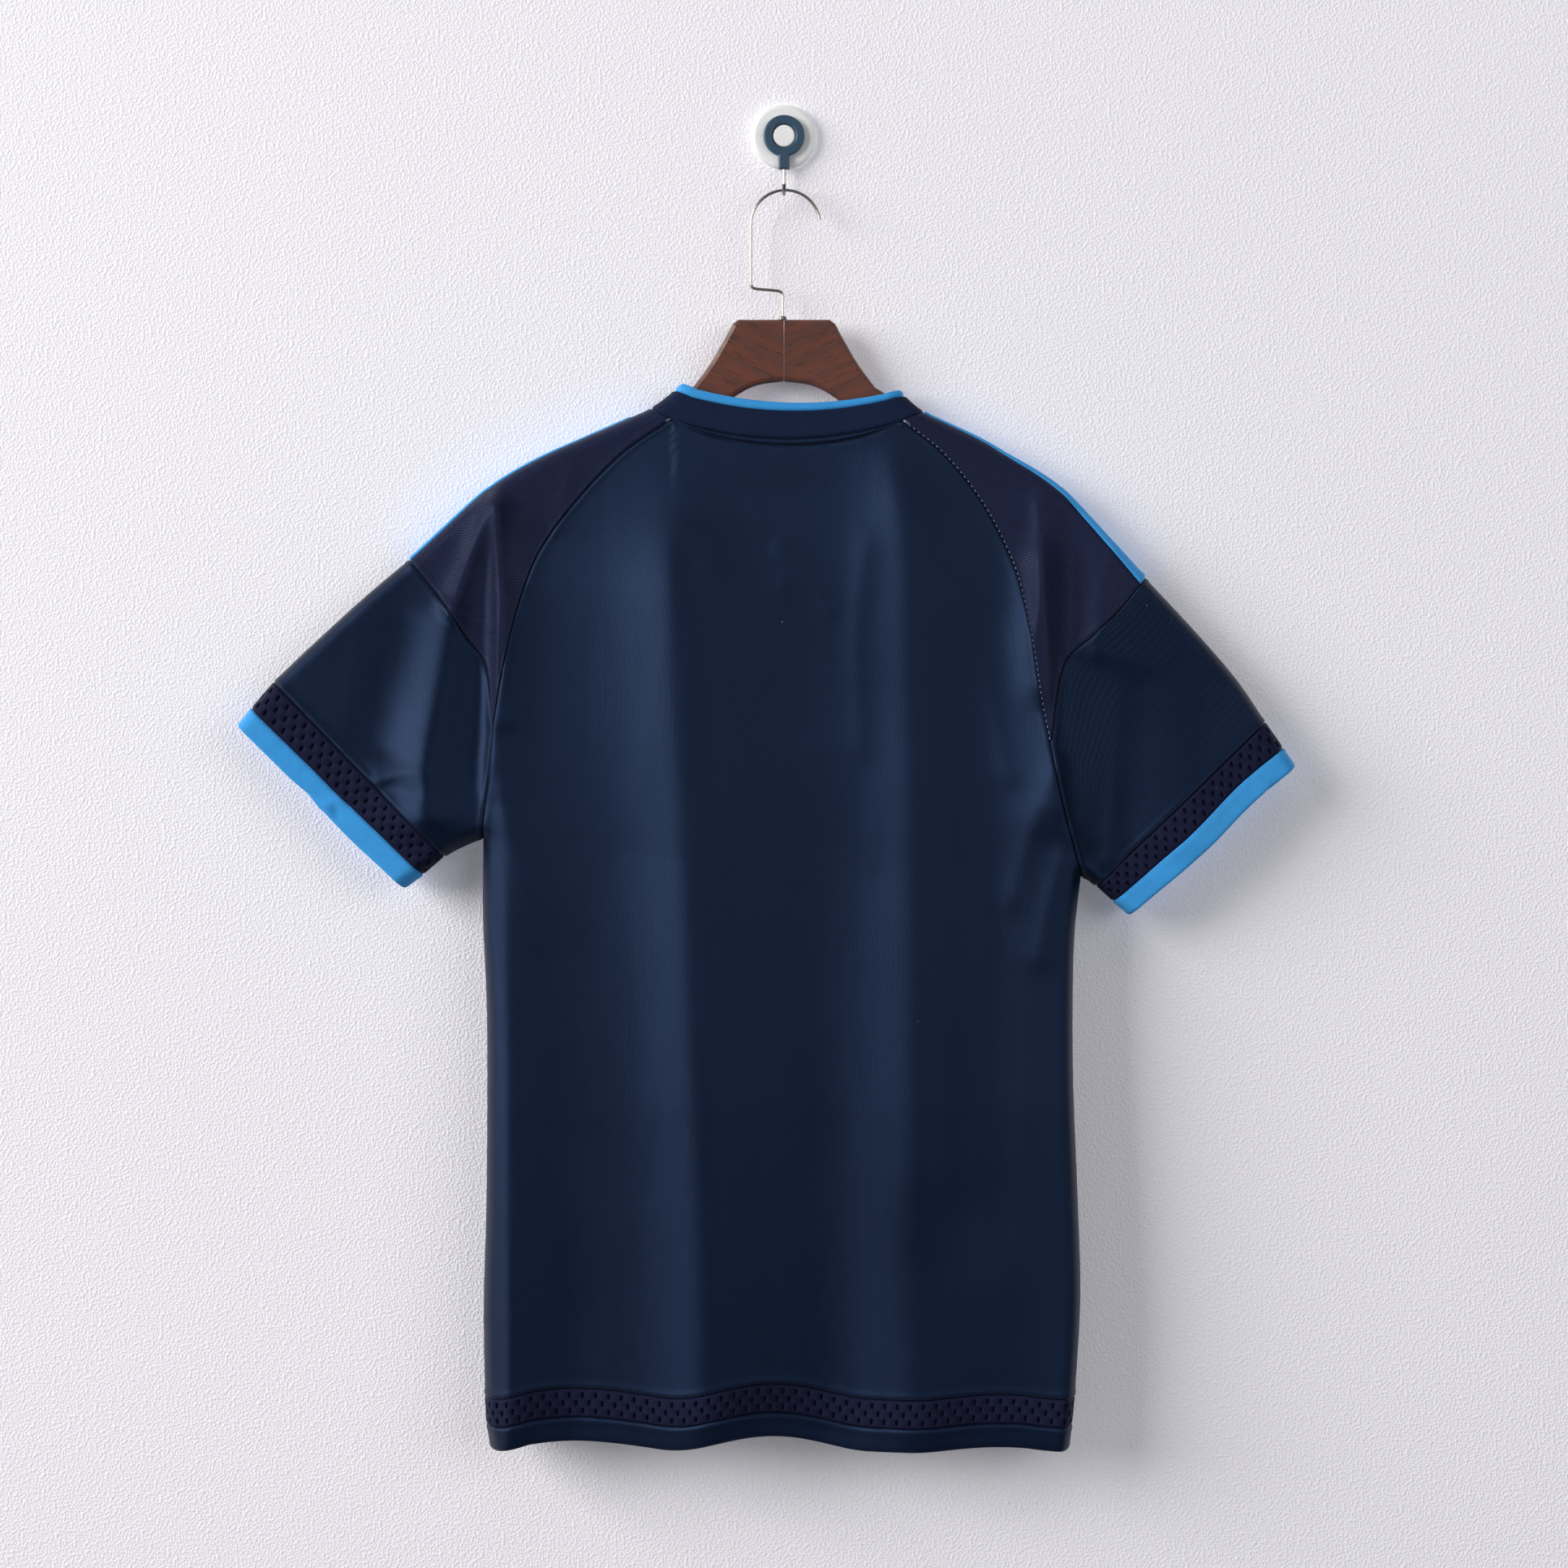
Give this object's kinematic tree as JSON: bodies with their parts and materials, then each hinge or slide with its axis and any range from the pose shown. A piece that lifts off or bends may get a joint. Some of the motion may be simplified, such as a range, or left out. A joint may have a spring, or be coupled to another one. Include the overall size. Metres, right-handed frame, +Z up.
{
  "type": "football jersey on a hanger and wall hook",
  "caption": "Short-sleeved football jersey with raglan mesh shoulders, eyelet bands and blue trim, hung on a wooden hanger from a round wall hook, back outward.",
  "frame": {"origin": "middle of the wall hook's plate, on the wall face", "axes": "+Z up, +Y into the wall, +X to the right of someone who faces the wall; the jersey's back faces -Y"},
  "size_m": [0.761, 0.0757, 0.9667],
  "materials": {
    "satin_navy": "smooth satin interlock knit, navy",
    "mesh_navy": "navy mesh knit, micro mesh on the shoulders and eyelets in the bands",
    "rib_navy": "fine navy rib knit",
    "sky_blue": "matt sky blue knit",
    "walnut": "dark red-brown lacquered wood",
    "steel": "satin nickel plated wire",
    "white_plastic": "smooth white plastic",
    "teal_plastic": "satin teal plastic"
  },
  "bodies": {
    "root": {"back_panel": "satin_navy", "collar": "rib_navy", "collar_trim": "sky_blue", "cuff_left": "sky_blue", "cuff_right": "sky_blue", "front_panel": "satin_navy", "hanger_ferrule": "steel", "hanger_hook": "steel", "hanger_left": "walnut", "hanger_right": "walnut", "hem_band_back": "satin_navy", "hem_band_front": "satin_navy", "hem_mesh_back": "mesh_navy", "hem_mesh_front": "mesh_navy", "hook_button": "white_plastic", "hook_peg": "steel", "hook_plate": "white_plastic", "hook_ring": "teal_plastic", "shoulder_panel_left": "mesh_navy", "shoulder_panel_right": "mesh_navy", "shoulder_strip_left": "sky_blue", "shoulder_strip_right": "sky_blue", "sleeve_left": "satin_navy", "sleeve_mesh_left": "mesh_navy", "sleeve_mesh_right": "mesh_navy", "sleeve_right": "satin_navy"}
  },
  "joints": []
}
